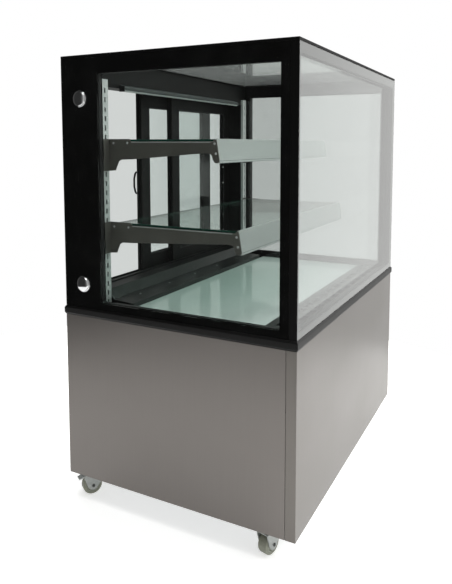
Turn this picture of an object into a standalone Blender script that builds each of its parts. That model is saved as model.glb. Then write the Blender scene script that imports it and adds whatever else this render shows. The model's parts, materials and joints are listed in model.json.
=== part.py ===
"""Refrigerated bakery display case: a stainless base on casters under a square glass cabinet.

Metres, +Z up, front towards -Y. Everything hangs on the empty "case_origin", whose own frame
has z = 0 at the bottom edge of the stainless base and x = y = 0 at the base's centre.
"""

import math

import bmesh
import bpy
from mathutils import Matrix, Vector

# Driving sizes
WIDTH = 0.915  # stainless base, left to right
DEPTH = 0.675  # stainless base, front to back
BASE_HEIGHT = 0.451  # stainless base, bottom edge to top edge
GLASS_TOP = 1.1423  # top of the glass cabinet above the base's bottom edge
CASTER_HEIGHT = 0.068  # floor to the base's bottom edge
TRIM_HEIGHT = 0.0237
TRIM_REACH = 0.0035  # how far the black trim stands proud of the base
TOP_GLASS = 0.007
END_GLASS = 0.023  # insulated unit
FRONT_GLASS = 0.020  # insulated unit
SHEET = 0.0015
GAP = 0.0003  # between neighbours that touch

# Shelves: height of the bracket's top, and y of the bracket's nose
SHELVES = {"upper": (0.926, -0.104), "lower": (0.704, -0.165)}
SHELF_GLASS = 0.006
SLOTS_BETWEEN_SHELVES = 9

# Sliding doors
OUTER_DOOR_WIDTH = 0.430
INNER_DOOR_WIDTH = 0.406
DOOR_THICK = 0.020
DOOR_GLASS = 0.012
STILE = 0.043
LEFT_DOOR_OPEN = 0.271  # the left door stands open by this much
HANDLE_REACH = 0.019

# Casters
WHEEL_RADIUS = 0.0265
WHEEL_WIDTH = 0.026
TRAIL = 0.024
CASTER_X = 0.400
FRONT_CASTER_Y = -0.261
REAR_CASTER_Y = 0.281

# Worked out from the above
HALF_W = WIDTH / 2
HALF_D = DEPTH / 2
TRIM_TOP = BASE_HEIGHT + GAP + TRIM_HEIGHT
GLASS_FOOT = TRIM_TOP + GAP
CABINET_TOP = GLASS_TOP - TOP_GLASS - GAP  # top of the glass walls and of the rear frame
END_INNER = HALF_W - END_GLASS  # inner face of an end glass, from the middle
POST_OUTER = END_INNER - 0.0015
POST_INNER = 0.398
POST_FRONT = 0.2395
POCKET_FRONT = 0.2930  # the doors run behind this plane
INNER_DOOR_Y = POCKET_FRONT + 0.0015 + DOOR_THICK / 2
OUTER_DOOR_Y = INNER_DOOR_Y + DOOR_THICK + 0.002
SILL_TOP = 0.520
TRACK_FLOOR = 0.5110
HEADER_FOOT = 1.065
TRACK_ROOF = 1.0795
DOOR_FOOT = TRACK_FLOOR + 0.0005
DOOR_TOP = 1.0735
DOOR_STOP = 0.408  # an edge of a closed door, from the middle
DECK_TOP = 0.4735
DECK_GLASS = 0.006
DECK_BACK = 0.1572
DECK_FRONT = -0.222
ARM_INNER = 0.3975  # inner face of a shelf bracket's arm
ARM_OUTER = 0.4000
STANDARD_FRONT = 0.2297
SLOT_X = 0.411
SLOT_PITCH = (SHELVES["upper"][0] - SHELVES["lower"][0]) / SLOTS_BETWEEN_SHELVES
KNOB_REACH = 0.0085
AXLE_Z = WHEEL_RADIUS - CASTER_HEIGHT

FRONT_REACH = HALF_D + TRIM_REACH
BACK_REACH = OUTER_DOOR_Y + DOOR_THICK / 2 + HANDLE_REACH
CENTRE_SHIFT = (FRONT_REACH - BACK_REACH) / 2  # puts the whole object's middle at y = 0


def clear_scene():
    for obj in list(bpy.data.objects):
        bpy.data.objects.remove(obj, do_unlink=True)


def paint(name, colour, roughness, metallic=0.0, alpha=1.0):
    material = bpy.data.materials.new(name)
    material.use_nodes = True
    shader = material.node_tree.nodes["Principled BSDF"]
    shader.inputs["Base Color"].default_value = (*colour, 1.0)
    shader.inputs["Roughness"].default_value = roughness
    shader.inputs["Metallic"].default_value = metallic
    shader.inputs["Alpha"].default_value = alpha
    return material


def empty(name, place, parent=None, turn=(0, 0, 0)):
    marker = bpy.data.objects.new(name, None)
    bpy.context.scene.collection.objects.link(marker)
    marker.parent = parent
    marker.location = place
    marker.rotation_euler = turn
    return marker


def piece(name, bm, material, parent, smooth=None):
    """Makes the object from a bmesh. smooth is the angle in degrees past which an edge stays sharp."""
    bmesh.ops.recalc_face_normals(bm, faces=bm.faces)
    if bm.calc_volume(signed=True) < 0:
        bmesh.ops.reverse_faces(bm, faces=bm.faces)
    mesh = bpy.data.meshes.new(name)
    bm.to_mesh(mesh)
    bm.free()
    if material:
        mesh.materials.append(material)
    if smooth:
        mesh.shade_smooth()
        mesh.set_sharp_from_angle(angle=math.radians(smooth))
    obj = bpy.data.objects.new(name, mesh)
    bpy.context.scene.collection.objects.link(obj)
    obj.parent = parent
    return obj


def combine(target, helper, operation="UNION"):
    """Joins helper to target, or cuts it out, and removes helper."""
    modifier = target.modifiers.new(operation.lower(), "BOOLEAN")
    modifier.operation = operation
    modifier.object = helper
    bpy.context.view_layer.update()
    graph = bpy.context.evaluated_depsgraph_get()
    result = bpy.data.meshes.new_from_object(target.evaluated_get(graph))
    target.modifiers.remove(modifier)
    target.data = result
    bpy.data.objects.remove(helper, do_unlink=True)
    return target


def add_block(bm, low, high):
    """Adds a box between two corners."""
    low, high = Vector(low), Vector(high)
    grow = Matrix.Diagonal((*(high - low), 1.0))
    bmesh.ops.create_cube(bm, size=1, matrix=Matrix.Translation((low + high) / 2) @ grow)


def block(name, low, high, material, parent, bevel=0.0):
    bm = bmesh.new()
    add_block(bm, low, high)
    if bevel:
        bmesh.ops.bevel(
            bm, geom=bm.edges[:], offset=bevel, segments=1, profile=0.5, affect="EDGES", material=-1
        )
    return piece(name, bm, material, parent)


def prism(name, outline, axis, low, high, material, parent, smooth=None):
    """Extrudes a closed outline along "x", "y" or "z". The outline's two numbers are the other two
    coordinates, in the order x, y, z."""
    place = {
        "x": lambda u, v: (low, u, v),
        "y": lambda u, v: (u, low, v),
        "z": lambda u, v: (u, v, low),
    }[axis]
    step = Vector([high - low if letter == axis else 0.0 for letter in "xyz"])
    bm = bmesh.new()
    face = bm.faces.new([bm.verts.new(place(u, v)) for u, v in outline])
    made = bmesh.ops.extrude_face_region(bm, geom=[face])["geom"]
    bmesh.ops.translate(bm, vec=step, verts=[g for g in made if isinstance(g, bmesh.types.BMVert)])
    return piece(name, bm, material, parent, smooth)


def turned(name, profile, material, parent, steps=32, smooth=30, turn=None):
    """Spins a closed profile of (radius, height) about Z, then turns the result."""
    bm = bmesh.new()
    verts = [bm.verts.new((radius, 0, height)) for radius, height in profile]
    edges = [bm.edges.new(pair) for pair in zip(verts, verts[1:] + verts[:1])]
    bmesh.ops.spin(
        bm,
        geom=verts + edges,
        axis=(0, 0, 1),
        cent=(0, 0, 0),
        angle=math.tau,
        steps=steps,
        use_merge=True,
    )
    bmesh.ops.remove_doubles(bm, verts=bm.verts[:], dist=1e-6)
    loose = [edge for edge in bm.edges if not edge.link_faces]
    bmesh.ops.delete(bm, geom=loose, context="EDGES")
    if turn:
        bm.transform(turn)
    return piece(name, bm, material, parent, smooth)


def solid_turned(name, profile, material, parent, steps=32, smooth=30, turn=None):
    """Spins an open profile that starts and ends on the axis."""
    bm = bmesh.new()
    verts = [bm.verts.new((radius, 0, height)) for radius, height in profile]
    edges = [bm.edges.new(pair) for pair in zip(verts, verts[1:])]
    bmesh.ops.spin(
        bm,
        geom=verts + edges,
        axis=(0, 0, 1),
        cent=(0, 0, 0),
        angle=math.tau,
        steps=steps,
        use_merge=True,
    )
    bmesh.ops.remove_doubles(bm, verts=bm.verts[:], dist=1e-6)
    loose = [edge for edge in bm.edges if not edge.link_faces]
    bmesh.ops.delete(bm, geom=loose, context="EDGES")
    if turn:
        bm.transform(turn)
    return piece(name, bm, material, parent, smooth)


def mitred_frame(name, low, high, profile, place, material, parent):
    """A rectangular ring with mitred corners. low and high are the outer corners in the ring's plane,
    profile is a closed list of (inset from the outer edge, height), and place turns (u, v, height)
    into a point."""
    bm = bmesh.new()
    loops = []
    for inset, height in profile:
        corners = [
            (low[0] + inset, low[1] + inset),
            (high[0] - inset, low[1] + inset),
            (high[0] - inset, high[1] - inset),
            (low[0] + inset, high[1] - inset),
        ]
        loops.append([bm.verts.new(place(u, v, height)) for u, v in corners])
    for loop, following in zip(loops, loops[1:] + loops[:1]):
        for corner in range(4):
            after = (corner + 1) % 4
            bm.faces.new([loop[corner], loop[after], following[after], following[corner]])
    return piece(name, bm, material, parent)


def add_plate(bm, us, vs, is_open, place, thickness):
    """A flat plate on a grid of lines, with a hole in each cell where is_open(u, v) is true at its middle.
    place(u, v) gives a point, and thickness is the vector that the plate is extruded by."""
    corner = {}

    def at(u, v):
        if (u, v) not in corner:
            corner[u, v] = bm.verts.new(place(u, v))
        return corner[u, v]

    faces = []
    for u0, u1 in zip(us, us[1:]):
        for v0, v1 in zip(vs, vs[1:]):
            if not is_open((u0 + u1) / 2, (v0 + v1) / 2):
                faces.append(bm.faces.new([at(u0, v0), at(u1, v0), at(u1, v1), at(u0, v1)]))
    made = bmesh.ops.extrude_face_region(bm, geom=faces)["geom"]
    bmesh.ops.translate(bm, vec=thickness, verts=[g for g in made if isinstance(g, bmesh.types.BMVert)])


def arc(centre, radius, start, end, steps):
    """Points on a circle, angles in degrees."""
    angles = [math.radians(start + (end - start) * step / steps) for step in range(steps + 1)]
    return [(centre[0] + radius * math.cos(a), centre[1] + radius * math.sin(a)) for a in angles]


def within(value, spans):
    return any(low < value < high for low, high in spans)


clear_scene()

stainless_side = paint("Stainless side", (0.42, 0.41, 0.39), 0.34, 1.0)
stainless_front = paint("Stainless front", (0.62, 0.61, 0.59), 0.34, 1.0)
galvanised = paint("Galvanised steel", (0.55, 0.56, 0.56), 0.45, 1.0)
black_trim = paint("Black lacquered trim", (0.012, 0.012, 0.012), 0.30)
black_frame = paint("Black anodised aluminium", (0.02, 0.02, 0.02), 0.35, 0.6)
black_sheet = paint("Black painted sheet", (0.018, 0.018, 0.018), 0.40)
clear_glass = paint("Clear glass", (0.80, 0.86, 0.84), 0.02, 0.0, 0.25)
shelf_glass = paint("Green edged glass", (0.55, 0.72, 0.66), 0.03, 0.0, 0.45)
deck_glass_paint = paint("Pale deck glass", (0.42, 0.58, 0.53), 0.05, 0.0, 0.9)
chrome = paint("Chromed steel", (0.75, 0.75, 0.76), 0.08, 1.0)
standard_steel = paint("Satin stainless standard", (0.60, 0.63, 0.63), 0.35, 1.0)
bracket_steel = paint("Grey lacquered bracket", (0.06, 0.058, 0.054), 0.40, 0.3)
rail_aluminium = paint("Silver anodised rail", (0.50, 0.54, 0.52), 0.38, 0.8)
lamp_aluminium = paint("Silver lamp housing", (0.35, 0.38, 0.38), 0.35, 0.8)
lamp_white = paint("Opal lamp cover", (0.80, 0.83, 0.82), 0.50)
foam_liner = paint("Grey tub liner", (0.045, 0.050, 0.050), 0.45)
compressor_black = paint("Black compressor shell", (0.015, 0.015, 0.016), 0.35)
fin_aluminium = paint("Fin aluminium", (0.55, 0.56, 0.57), 0.40, 1.0)
fan_plastic = paint("Black fan plastic", (0.03, 0.03, 0.03), 0.50)
control_plastic = paint("Black control plastic", (0.025, 0.025, 0.027), 0.40)
switch_plastic = paint("Red rocker plastic", (0.35, 0.02, 0.02), 0.35)
switch_green = paint("Green rocker plastic", (0.02, 0.22, 0.06), 0.35)
fork_zinc = paint("Zinc plated fork", (0.45, 0.46, 0.45), 0.38, 1.0)
wheel_rubber = paint("Grey caster rubber", (0.17, 0.18, 0.13), 0.60)
pedal_zinc = paint("Zinc plated pedal", (0.40, 0.41, 0.41), 0.40, 1.0)

case = empty("case_origin", (0, CENTRE_SHIFT, CASTER_HEIGHT))


# Base: tray, panels, rear grille


def chassis_tray():
    """Folded tray that carries the casters and the machinery, with a bored boss for each caster stem."""
    wall, floor_top, rim = 0.002, 0.003, 0.025
    edge_x, edge_y = HALF_W - SHEET - GAP, HALF_D - SHEET - GAP
    bm = bmesh.new()
    add_block(bm, (-edge_x, -edge_y, 0), (edge_x, edge_y, rim))
    tray = piece("chassis_tray", bm, galvanised, case)
    bm = bmesh.new()
    add_block(bm, (wall - edge_x, wall - edge_y, floor_top), (edge_x - wall, edge_y - wall, rim + 0.01))
    combine(tray, piece("tray_hollow", bm, None, case), "DIFFERENCE")
    for x in (-CASTER_X, CASTER_X):
        for y in (FRONT_CASTER_Y, REAR_CASTER_Y):
            turn = Matrix.Translation((x, y, 0))
            boss = [(0, 0.001), (0.014, 0.001), (0.014, 0.012), (0, 0.012)]
            combine(tray, solid_turned("boss", boss, None, case, steps=16, turn=turn))
            bore = [(0, -0.002), (0.0064, -0.002), (0.0064, 0.015), (0, 0.015)]
            combine(tray, solid_turned("bore", bore, None, case, steps=16, turn=turn), "DIFFERENCE")
    return tray


def side_panel(side):
    """Stainless end panel with a flange folded round the back corner."""
    outer, seam = HALF_W, -0.311
    flange = outer - 0.020
    outline = [
        (outer, seam + 0.0004),
        (outer, HALF_D),
        (flange, HALF_D),
        (flange, HALF_D - SHEET),
        (outer - SHEET, HALF_D - SHEET),
        (outer - SHEET, seam + 0.0004),
    ]
    name = "left_side_panel" if side < 0 else "right_side_panel"
    prism(name, [(side * x, y) for x, y in outline], "z", 0, BASE_HEIGHT, stainless_side, case)


def front_panel():
    """Stainless front that wraps onto both ends."""
    wrap = -0.311 - 0.0004
    outline = [
        (-HALF_W, wrap),
        (-HALF_W, -HALF_D),
        (HALF_W, -HALF_D),
        (HALF_W, wrap),
        (HALF_W - SHEET, wrap),
        (HALF_W - SHEET, SHEET - HALF_D),
        (SHEET - HALF_W, SHEET - HALF_D),
        (SHEET - HALF_W, wrap),
    ]
    prism("front_panel", outline, "z", 0, BASE_HEIGHT, stainless_front, case)


GRILLE_HALF = HALF_W - 0.0206
GRILLE_Y = HALF_D - SHEET
CONTROL_X, CONTROL_Z = 0.300, 0.292
SWITCH_XS = {"power_switch": 0.215, "light_switch": 0.175}
CONTROL_CUT = (0.0712, 0.0292)
SWITCH_CUT = (0.0200, 0.0134)
GLAND_X, GLAND_Z = -0.340, 0.060
GLAND_HALF = 0.0085


def rear_grille():
    """Screwed-on back panel with ventilation slots and the cut-outs for controls and power cord."""
    foot, top, first_slot, slot, pitch, rows = 0.0255, 0.4495, 0.060, 0.009, 0.0195, 10
    slots = [(first_slot + row * pitch, first_slot + row * pitch + slot) for row in range(rows)]
    columns = [(-0.300, -0.012), (0.012, 0.300)]
    windows = [(CONTROL_X, CONTROL_Z, *CONTROL_CUT)]
    windows += [(x, CONTROL_Z, *SWITCH_CUT) for x in SWITCH_XS.values()]
    windows += [(GLAND_X, GLAND_Z, 2 * GLAND_HALF, 2 * GLAND_HALF)]
    spans = [((x - w / 2, x + w / 2), (z - h / 2, z + h / 2)) for x, z, w, h in windows]

    def is_open(x, z):
        louvre = within(x, columns) and within(z, slots)
        return louvre or any(within(x, [across]) and within(z, [up]) for across, up in spans)

    xs = {-GRILLE_HALF, GRILLE_HALF} | {edge for span in columns for edge in span}
    xs |= {edge for across, _ in spans for edge in across}
    zs = {foot, top} | {edge for span in slots for edge in span} | {edge for _, up in spans for edge in up}
    bm = bmesh.new()
    add_plate(bm, sorted(xs), sorted(zs), is_open, lambda x, z: (x, GRILLE_Y, z), (0, SHEET, 0))
    bmesh.ops.dissolve_limit(bm, angle_limit=0.01, verts=bm.verts[:], edges=bm.edges[:])
    piece("rear_grille", bm, galvanised, case)


def controls():
    """Digital thermostat, two rocker switches and the power cord's gland, all in the back panel."""
    w, h = CONTROL_CUT[0] - 0.0006, CONTROL_CUT[1] - 0.0006
    bm = bmesh.new()
    add_block(
        bm,
        (CONTROL_X - w / 2, GRILLE_Y - 0.045, CONTROL_Z - h / 2),
        (CONTROL_X + w / 2, HALF_D + 0.002, CONTROL_Z + h / 2),
    )
    box = piece("controller", bm, control_plastic, case)
    bm = bmesh.new()
    add_block(
        bm,
        (CONTROL_X - 0.039, HALF_D + GAP, CONTROL_Z - 0.0175),
        (CONTROL_X + 0.039, HALF_D + 0.0055, CONTROL_Z + 0.0175),
    )
    combine(box, piece("bezel", bm, control_plastic, case))
    for name, x in SWITCH_XS.items():
        pivot = empty(name + "_pivot", (x, HALF_D - 0.004, CONTROL_Z), case, (math.radians(8), 0, 0))
        outline = [(-0.010, -0.0040), (0.002, -0.0058), (0.0072, -0.0058), (0.0052, 0.0)]
        outline += [(0.0072, 0.0058), (0.002, 0.0058), (-0.010, 0.0040)]
        colour = switch_plastic if name == "power_switch" else switch_green
        prism(name, outline, "x", -0.0093, 0.0093, colour, pivot)
    lie = Matrix.Translation((GLAND_X, 0, GLAND_Z)) @ Matrix.Rotation(math.radians(-90), 4, "X")
    flange, back, front = HALF_D + GAP, GRILLE_Y - 0.012, HALF_D + 0.018
    ring = [(0.0042, back), (0.0080, back), (0.0080, flange), (0.0125, flange)]
    ring += [(0.0125, flange + 0.006), (0.0085, flange + 0.008), (0.0060, front), (0.0042, front)]
    turned("cord_gland", ring, control_plastic, case, steps=24, turn=lie)


# Cabinet: trim, tub, deck, rear frame, glass


def base_trim():
    """Black ring on top of the stainless base, which the glass stands on."""
    foot = BASE_HEIGHT + GAP
    inset = TRIM_REACH + END_GLASS + 0.001
    profile = [
        (0.0030, foot),
        (0.0, foot + 0.005),
        (0.0, foot + 0.019),
        (0.0035, TRIM_TOP),
        (inset, TRIM_TOP),
        (inset, foot),
    ]
    edge = (HALF_W + TRIM_REACH, HALF_D + TRIM_REACH)
    low = (-edge[0], -edge[1])
    mitred_frame("base_trim", low, edge, profile, lambda u, v, h: (u, v, h), black_trim, case)


def insulated_tub():
    """Foamed tub under the deck that holds the evaporator."""
    edge_x, edge_y = END_INNER - 0.0015, HALF_D - END_GLASS - 0.002
    foot, top, wall, floor_top = 0.330, DECK_TOP - DECK_GLASS - GAP, 0.018, 0.350
    bm = bmesh.new()
    add_block(bm, (-edge_x, -edge_y, foot), (edge_x, edge_y, top))
    tub = piece("insulated_tub", bm, foam_liner, case)
    bm = bmesh.new()
    add_block(bm, (wall - edge_x, wall - edge_y, floor_top), (edge_x - wall, edge_y - wall, top + 0.01))
    combine(tub, piece("tub_hollow", bm, None, case), "DIFFERENCE")


def deck():
    """Glass deck, the slotted air outlet in front of it and the duct cover behind it."""
    edge_x = END_INNER - 0.0015
    foot = DECK_TOP - DECK_GLASS
    block("deck_glass", (-edge_x, DECK_FRONT, foot), (edge_x, DECK_BACK, DECK_TOP), deck_glass_paint, case)

    front, back = -(HALF_D - END_GLASS - 0.002), DECK_FRONT - GAP
    slots, pitch, rib = 14, 2 * edge_x / 14, 0.008
    spans = [(-edge_x + n * pitch + rib, -edge_x + (n + 1) * pitch - rib) for n in range(slots)]
    rows = [(front + 0.020, front + 0.038), (front + 0.050, front + 0.068)]
    xs = sorted({-edge_x, edge_x} | {edge for span in spans for edge in span})
    ys = sorted({front, back} | {edge for row in rows for edge in row})
    bm = bmesh.new()
    add_plate(
        bm,
        xs,
        ys,
        lambda x, y: within(x, spans) and within(y, rows),
        lambda x, y: (x, y, foot),
        (0, 0, DECK_GLASS),
    )
    bmesh.ops.dissolve_limit(bm, angle_limit=0.01, verts=bm.verts[:], edges=bm.edges[:])
    piece("front_air_grille", bm, black_sheet, case)

    lip_y, sheet = DECK_BACK + GAP, 0.002
    outer = [(lip_y, foot), (lip_y, 0.4855), (0.222, 0.4895), (POST_FRONT - GAP, 0.5165)]
    inner = [(POST_FRONT - GAP, 0.5165 - 0.0035), (0.2228, 0.4872), (lip_y + sheet, 0.4834)]
    inner += [(lip_y + sheet, foot)]
    half = ARM_INNER - 0.0002
    prism("rear_duct_cover", outer + inner, "x", -half, half, black_sheet, case)


def rear_frame():
    """Posts, sill and header that the sliding doors run in."""
    back = HALF_D
    rib, rib_height = 0.002, 0.005
    tracks = (INNER_DOOR_Y, OUTER_DOOR_Y)
    sill = [(POST_FRONT, GLASS_FOOT), (POST_FRONT, 0.5165), (0.2850, 0.5165), (0.2850, SILL_TOP)]
    sill += [(POCKET_FRONT, SILL_TOP), (POCKET_FRONT, TRACK_FLOOR)]
    header = [(POST_FRONT, CABINET_TOP), (POST_FRONT, HEADER_FOOT), (POCKET_FRONT, HEADER_FOOT)]
    header += [(POCKET_FRONT, TRACK_ROOF)]
    for y in tracks:
        up, down = TRACK_FLOOR + rib_height, TRACK_ROOF - rib_height
        sill += [(y - rib, TRACK_FLOOR), (y - rib, up), (y + rib, up), (y + rib, TRACK_FLOOR)]
        header += [(y - rib, TRACK_ROOF), (y - rib, down), (y + rib, down), (y + rib, TRACK_ROOF)]
    sill += [(back, TRACK_FLOOR), (back, GLASS_FOOT)]
    header += [(back, TRACK_ROOF), (back, CABINET_TOP)]
    prism("door_sill", sill, "x", -POST_OUTER, POST_OUTER, black_frame, case)
    prism("door_header", header, "x", -POST_OUTER, POST_OUTER, black_frame, case)
    pocket = DOOR_STOP + 0.004
    for side, name in ((-1, "left_post"), (1, "right_post")):
        outline = [(POST_INNER, POST_FRONT), (POST_OUTER, POST_FRONT), (POST_OUTER, back)]
        outline += [(pocket, back), (pocket, POCKET_FRONT), (POST_INNER, POCKET_FRONT)]
        outline = [(side * x, y) for x, y in outline]
        prism(name, outline, "z", SILL_TOP + GAP, HEADER_FOOT - GAP, black_frame, case)


def glass_walls():
    """Insulated end and front units, the top plate and the round glass clamps."""
    front_back = FRONT_GLASS - HALF_D
    for side, name in ((-1, "left_end_glass"), (1, "right_end_glass")):
        xs = sorted((side * END_INNER, side * HALF_W))
        low, high = (xs[0], front_back + GAP, GLASS_FOOT), (xs[1], HALF_D, CABINET_TOP)
        block(name, low, high, clear_glass, case)
    low, high = (-HALF_W, -HALF_D, GLASS_FOOT), (HALF_W, front_back, CABINET_TOP)
    block("front_glass", low, high, clear_glass, case)
    low, high = (-HALF_W, -HALF_D, GLASS_TOP - TOP_GLASS), (HALF_W, HALF_D, GLASS_TOP)
    block("top_glass", low, high, clear_glass, case, bevel=0.0008)
    radius, neck = 0.0213, GAP
    cap = [(0, neck), (radius - 0.001, neck), (radius, 0.0015), (radius, 0.0062)]
    cap += [(radius - 0.0023, KNOB_REACH), (0, KNOB_REACH)]
    for side, end in ((-1, "left"), (1, "right")):
        for height, level in ((1.030, "upper"), (0.540, "lower")):
            turn = Matrix.Translation((side * HALF_W, 0.274, height))
            turn = turn @ Matrix.Rotation(side * math.radians(90), 4, "Y")
            solid_turned(f"{end}_{level}_glass_clamp", cap, chrome, case, steps=32, turn=turn)


# Fittings inside the cabinet


def shelf_standard(side, name):
    """Slotted upright channel that the shelf brackets hook into."""
    inner, outer, wall, depth = 0.3985, 0.4235, 0.0015, 0.0094
    foot, top, slot_half, slot_height = GLASS_FOOT, 1.083, 0.0027, 0.0135
    first = SHELVES["lower"][0] - 0.020 - 8 * SLOT_PITCH
    centres = [first + n * SLOT_PITCH for n in range(24)]
    spans = [(z - slot_height / 2, z + slot_height / 2) for z in centres if foot < z - 0.01 and z < top - 0.02]
    hole = [(SLOT_X - slot_half, SLOT_X + slot_half)]
    xs = sorted({inner, inner + wall, outer - wall, outer, *hole[0]})
    zs = sorted({foot, top} | {edge for span in spans for edge in span})
    bm = bmesh.new()
    add_plate(
        bm,
        xs,
        zs,
        lambda x, z: within(x, hole) and within(z, spans),
        lambda x, z: (side * x, STANDARD_FRONT, z),
        (0, wall, 0),
    )
    bmesh.ops.recalc_face_normals(bm, faces=bm.faces)
    back = STANDARD_FRONT + wall
    edges = [(inner, inner + wall), (outer - wall, outer)]
    flange = [
        face
        for face in bm.faces
        if abs(face.normal.y) > 0.9
        and abs(face.calc_center_median().y - back) < 1e-5
        and within(abs(face.calc_center_median().x), edges)
    ]
    made = bmesh.ops.extrude_face_region(bm, geom=flange)["geom"]
    verts = [g for g in made if isinstance(g, bmesh.types.BMVert)]
    bmesh.ops.translate(bm, vec=(0, depth - wall, 0), verts=verts)
    bmesh.ops.delete(bm, geom=flange, context="FACES_KEEP_BOUNDARY")
    bmesh.ops.dissolve_limit(bm, angle_limit=0.01, verts=bm.verts[:], edges=bm.edges[:])
    piece(name, bm, standard_steel, case)


def shelf_bracket(side, name, top, nose):
    """Pressed arm with a hooked foot against the standard and a ledge for the glass."""
    glass_foot = top - 0.001 - SHELF_GLASS
    heel = STANDARD_FRONT - GAP
    plate = 0.0026
    outline = [(heel, top), (0.160, top), (0.1575, glass_foot - 0.0008)]
    outline += [(nose + 0.012, glass_foot - 0.0008)]
    outline += arc((nose + 0.0085, top - 0.0090), 0.0062, 60, 165, 5)
    outline += arc((nose + 0.0030, top - 0.0520), 0.0080, 188, 330, 6)
    outline += [(nose + 0.0135, top - 0.0500), (nose + 0.0152, top - 0.0430)]
    outline += [(nose + 0.0185, top - 0.0385), (nose + 0.0240, top - 0.0365), (nose + 0.0361, top - 0.0355)]
    outline += [(0.150, top - 0.0530), (0.188, top - 0.0545)]
    outline += [(0.1965, top - 0.0590), (0.2030, top - 0.0720), (0.2075, top - 0.0830)]
    outline += [(heel, top - 0.0850)]
    xs = sorted((side * ARM_INNER, side * ARM_OUTER))
    arm = prism(name, outline, "x", *xs, bracket_steel, case)
    blocks = [((ARM_INNER + 0.0004, heel - plate, top - 0.0848), (0.4235, heel, top - 0.0002))]
    blocks += [((0.3855, nose + 0.014, glass_foot - 0.0025), (ARM_INNER + 0.001, 0.200, glass_foot - GAP))]
    for slot in (0, 2):
        middle = top - 0.020 - slot * SLOT_PITCH
        blocks.append(
            (
                (SLOT_X - 0.0013, heel - 0.001, middle - 0.005),
                (SLOT_X + 0.0013, STANDARD_FRONT + 0.0080, middle + 0.005),
            )
        )
    for low, high in blocks:
        xs = sorted((side * low[0], side * high[0]))
        bm = bmesh.new()
        add_block(bm, (xs[0], *low[1:]), (xs[1], *high[1:]))
        combine(arm, piece("bracket_part", bm, bracket_steel, case))


def shelf(level):
    """One glass shelf, its two brackets and the front rail."""
    top, nose = SHELVES[level]
    glass_top = top - 0.001
    half = ARM_INNER - GAP
    low, high = (-half, nose + 0.0085, glass_top - SHELF_GLASS), (half, 0.2060, glass_top)
    block(f"{level}_shelf_glass", low, high, shelf_glass, case)
    for side, end in ((-1, "left"), (1, "right")):
        shelf_bracket(side, f"{level}_{end}_bracket", top, nose)
    wall = 0.002
    outline = [(nose + 0.0080, top), (nose + 0.0034, top), (nose - 0.0052, top - 0.0588)]
    outline += [(nose + 0.0065, top - 0.0605), (nose + 0.0065, top - 0.0587)]
    outline += [(nose - 0.0030, top - 0.0572), (nose + 0.0050, top - wall), (nose + 0.0080, top - wall)]
    prism(f"{level}_shelf_rail", outline, "x", -half, half, rail_aluminium, case)


def lamp():
    """Lamp under the front of the header: aluminium housing and opal cover."""
    half, front, back, foot = 0.338, 0.2205, 0.2365, 1.0605
    wall = POST_FRONT - GAP
    housing = [(front, foot), (back, foot), (wall, foot + 0.0055), (wall, foot + 0.0150)]
    housing += [(front + 0.004, foot + 0.0100), (front, foot + 0.0070)]
    prism("lamp_housing", housing, "x", -half, half, lamp_aluminium, case)
    cover = [(front + 0.002, foot - GAP), (back - 0.002, foot - GAP)]
    cover += arc(((front + back) / 2, foot - 0.0012), 0.0057, 0, -180, 6)
    cover = [(y, foot - 0.0012 - (foot - 0.0012 - z) * 0.5 if z < foot - 0.001 else z) for y, z in cover]
    prism("lamp_cover", cover, "x", GAP - half, half - GAP, lamp_white, case)


def door(name, centre_y, width, slide_x, pull_side):
    """Sliding door: aluminium frame with a track groove all round, and an insulated pane in it."""
    half = width / 2
    middle_z = (DOOR_FOOT + DOOR_TOP) / 2
    half_height = (DOOR_TOP - DOOR_FOOT) / 2
    carrier = empty(name + "_slide", (slide_x, centre_y, middle_z), case)
    thick, pane, track = DOOR_THICK / 2, DOOR_GLASS / 2 + GAP, 0.003
    bite, groove = 0.009, 0.006
    profile = [(0, -thick), (STILE, -thick), (STILE, -pane), (STILE - bite, -pane)]
    profile += [(STILE - bite, pane), (STILE, pane), (STILE, thick), (0, thick)]
    profile += [(0, track), (groove, track), (groove, -track), (0, -track)]
    frame = mitred_frame(
        f"{name}_frame",
        (-half, -half_height),
        (half, half_height),
        profile,
        lambda u, v, h: (u, h, v),
        black_frame,
        carrier,
    )
    inset = STILE - bite + GAP
    low = (inset - half, -DOOR_GLASS / 2, inset - half_height)
    high = (half - inset, DOOR_GLASS / 2, half_height - inset)
    block(f"{name}_glass", low, high, clear_glass, carrier)
    pull_x = pull_side * (half - STILE / 2)
    return carrier, frame, pull_x, 0.790 - middle_z


def left_door():
    """Outer door, standing open, with a bow handle on its back face."""
    slide_x = OUTER_DOOR_WIDTH / 2 - DOOR_STOP + LEFT_DOOR_OPEN
    carrier, _, _, z = door("left_door", OUTER_DOOR_Y, OUTER_DOOR_WIDTH, slide_x, -1)
    x = 0.009 - OUTER_DOOR_WIDTH / 2
    face, reach, half = DOOR_THICK / 2 + GAP, DOOR_THICK / 2 + HANDLE_REACH, 0.036
    bar, width = 0.0044, 0.0052
    outline = [(face, z - half), (face + 0.010, z - half)]
    outline += [(reach - 0.0040, z - half + 0.007), (reach, z - half + 0.022), (reach, z + half - 0.022)]
    outline += [(reach - 0.0040, z + half - 0.007), (face + 0.010, z + half), (face, z + half)]
    outline += [(face, z + half - bar - 0.001), (face + 0.009, z + half - bar - 0.0005)]
    outline += [(reach - 0.0080, z + half - 0.0100), (reach - bar, z + half - 0.023)]
    outline += [(reach - bar, z - half + 0.023), (reach - 0.0080, z - half + 0.0100)]
    outline += [(face + 0.009, z - half + bar + 0.0005), (face, z - half + bar + 0.001)]
    prism("left_door_handle", outline, "x", x - width / 2, x + width / 2, black_frame, carrier, smooth=40)


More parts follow.
